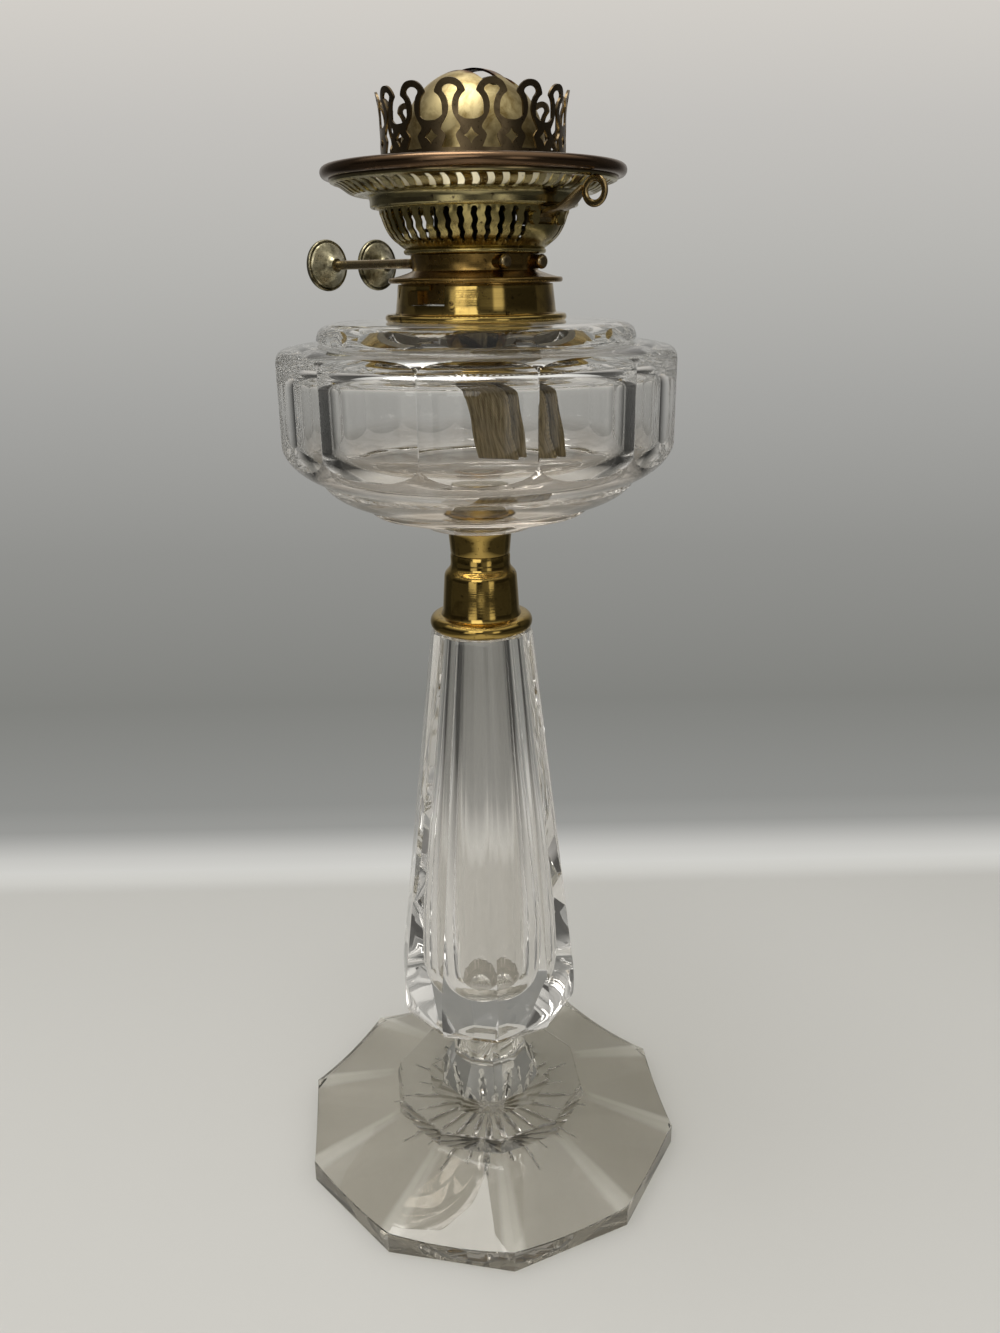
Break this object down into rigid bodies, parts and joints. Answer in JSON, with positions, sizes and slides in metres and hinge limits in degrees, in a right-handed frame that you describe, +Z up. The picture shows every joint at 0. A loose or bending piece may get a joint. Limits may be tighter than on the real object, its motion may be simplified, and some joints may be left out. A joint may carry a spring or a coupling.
{
  "type": "oil lamp",
  "caption": "Tall table oil lamp with a clear cut-glass foot, tapering hollow column and panelled font, and a brass two-wick burner with winders, shade tray, chimney crown and dome.",
  "frame": {"origin": "centre of the foot's underside, on the surface the lamp stands on", "axes": "+Z up the lamp's axis; -Y is the front; the wick winders point to the back left, between -X and +Y"},
  "size_m": [0.1746, 0.1774, 0.4647],
  "materials": {
    "clear_glass": "cut and polished clear glass, slightly warm in the thick edges",
    "polished_brass": "polished lacquered brass",
    "aged_brass": "aged brown brass with worn golden edges",
    "dark_brass": "heat-darkened brass, near black in places",
    "pale_brass": "pale dull brass with soot at the slots",
    "knob_brass": "greenish pale brass, spotted",
    "steel": "drawn steel rod, dull",
    "plaster": "old white plaster",
    "wick_cotton": "woven cotton wick, oil-stained and charred at the top"
  },
  "bodies": {
    "lamp_base": {"glass_pedestal": "clear_glass", "column_cap": "polished_brass", "cap_plaster": "plaster", "font_socket": "polished_brass", "socket_plaster": "plaster", "glass_font": "clear_glass", "font_collar": "polished_brass", "collar_plaster": "plaster"},
    "burner": {"burner_base": "aged_brass", "bayonet_lugs": "aged_brass", "tube_plate": "aged_brass", "spindle_bushes": "aged_brass", "burner_basket": "aged_brass", "air_diffuser": "aged_brass", "wick_tube_front": "aged_brass", "wick_tube_rear": "aged_brass", "lever_bracket": "aged_brass", "bracket_rivets": "aged_brass", "lever_pin": "steel"},
    "front_winder": {"spindle_front": "steel", "wick_wheels_front": "aged_brass", "winder_knob_front": "knob_brass"},
    "rear_winder": {"spindle_rear": "steel", "wick_wheels_rear": "aged_brass", "winder_knob_rear": "knob_brass"},
    "front_wick": {"wick_front": "wick_cotton"},
    "rear_wick": {"wick_rear": "wick_cotton"},
    "lever": {"extinguisher_lever": "aged_brass"},
    "extinguisher": {"extinguisher_sleeve_front": "aged_brass", "extinguisher_sleeve_rear": "aged_brass", "extinguisher_yoke": "aged_brass"},
    "gallery": {"shade_tray": "aged_brass", "chimney_plate": "aged_brass", "chimney_crown": "dark_brass", "flame_dome": "pale_brass"}
  },
  "joints": [
    {"name": "burner_twist", "type": "hinge", "parent": "lamp_base", "child": "burner", "pos_m": [0, 0, 0.3935], "axis": [0, 0, 1], "range_deg": [0, 20]},
    {"name": "front_winder_turn", "type": "hinge", "parent": "burner", "child": "front_winder", "pos_m": [-0.00682, -0.00682, 0.4006], "axis": [0.7071, -0.7071, 0], "range_deg": [-222, 111]},
    {"name": "rear_winder_turn", "type": "hinge", "parent": "burner", "child": "rear_winder", "pos_m": [0.00682, 0.00682, 0.4006], "axis": [-0.7071, 0.7071, 0], "range_deg": [-222, 111]},
    {"name": "front_wick_slide", "type": "slide", "parent": "burner", "child": "front_wick", "axis": [0, 0, 1], "range_m": [-0.012, 0.006]},
    {"name": "rear_wick_slide", "type": "slide", "parent": "burner", "child": "rear_wick", "axis": [0, 0, 1], "range_m": [-0.012, 0.006]},
    {"name": "lever_turn", "type": "hinge", "parent": "burner", "child": "lever", "pos_m": [0.02359, -0.0198, 0.4145], "axis": [0.6428, 0.766, 0], "range_deg": [0, 40]},
    {"name": "extinguisher_slide", "type": "slide", "parent": "burner", "child": "extinguisher", "axis": [0, 0, 1], "range_m": [0, 0.0086]},
    {"name": "gallery_lift", "type": "slide", "parent": "burner", "child": "gallery", "axis": [0, 0, 1], "range_m": [0, 0.08]}
  ],
  "couplings": [
    {"joint": "front_winder_turn", "follows": "front_wick_slide", "rad_per_m": 322.58},
    {"joint": "rear_winder_turn", "follows": "rear_wick_slide", "rad_per_m": 322.58},
    {"joint": "lever_turn", "follows": "extinguisher_slide", "rad_per_m": 81}
  ]
}
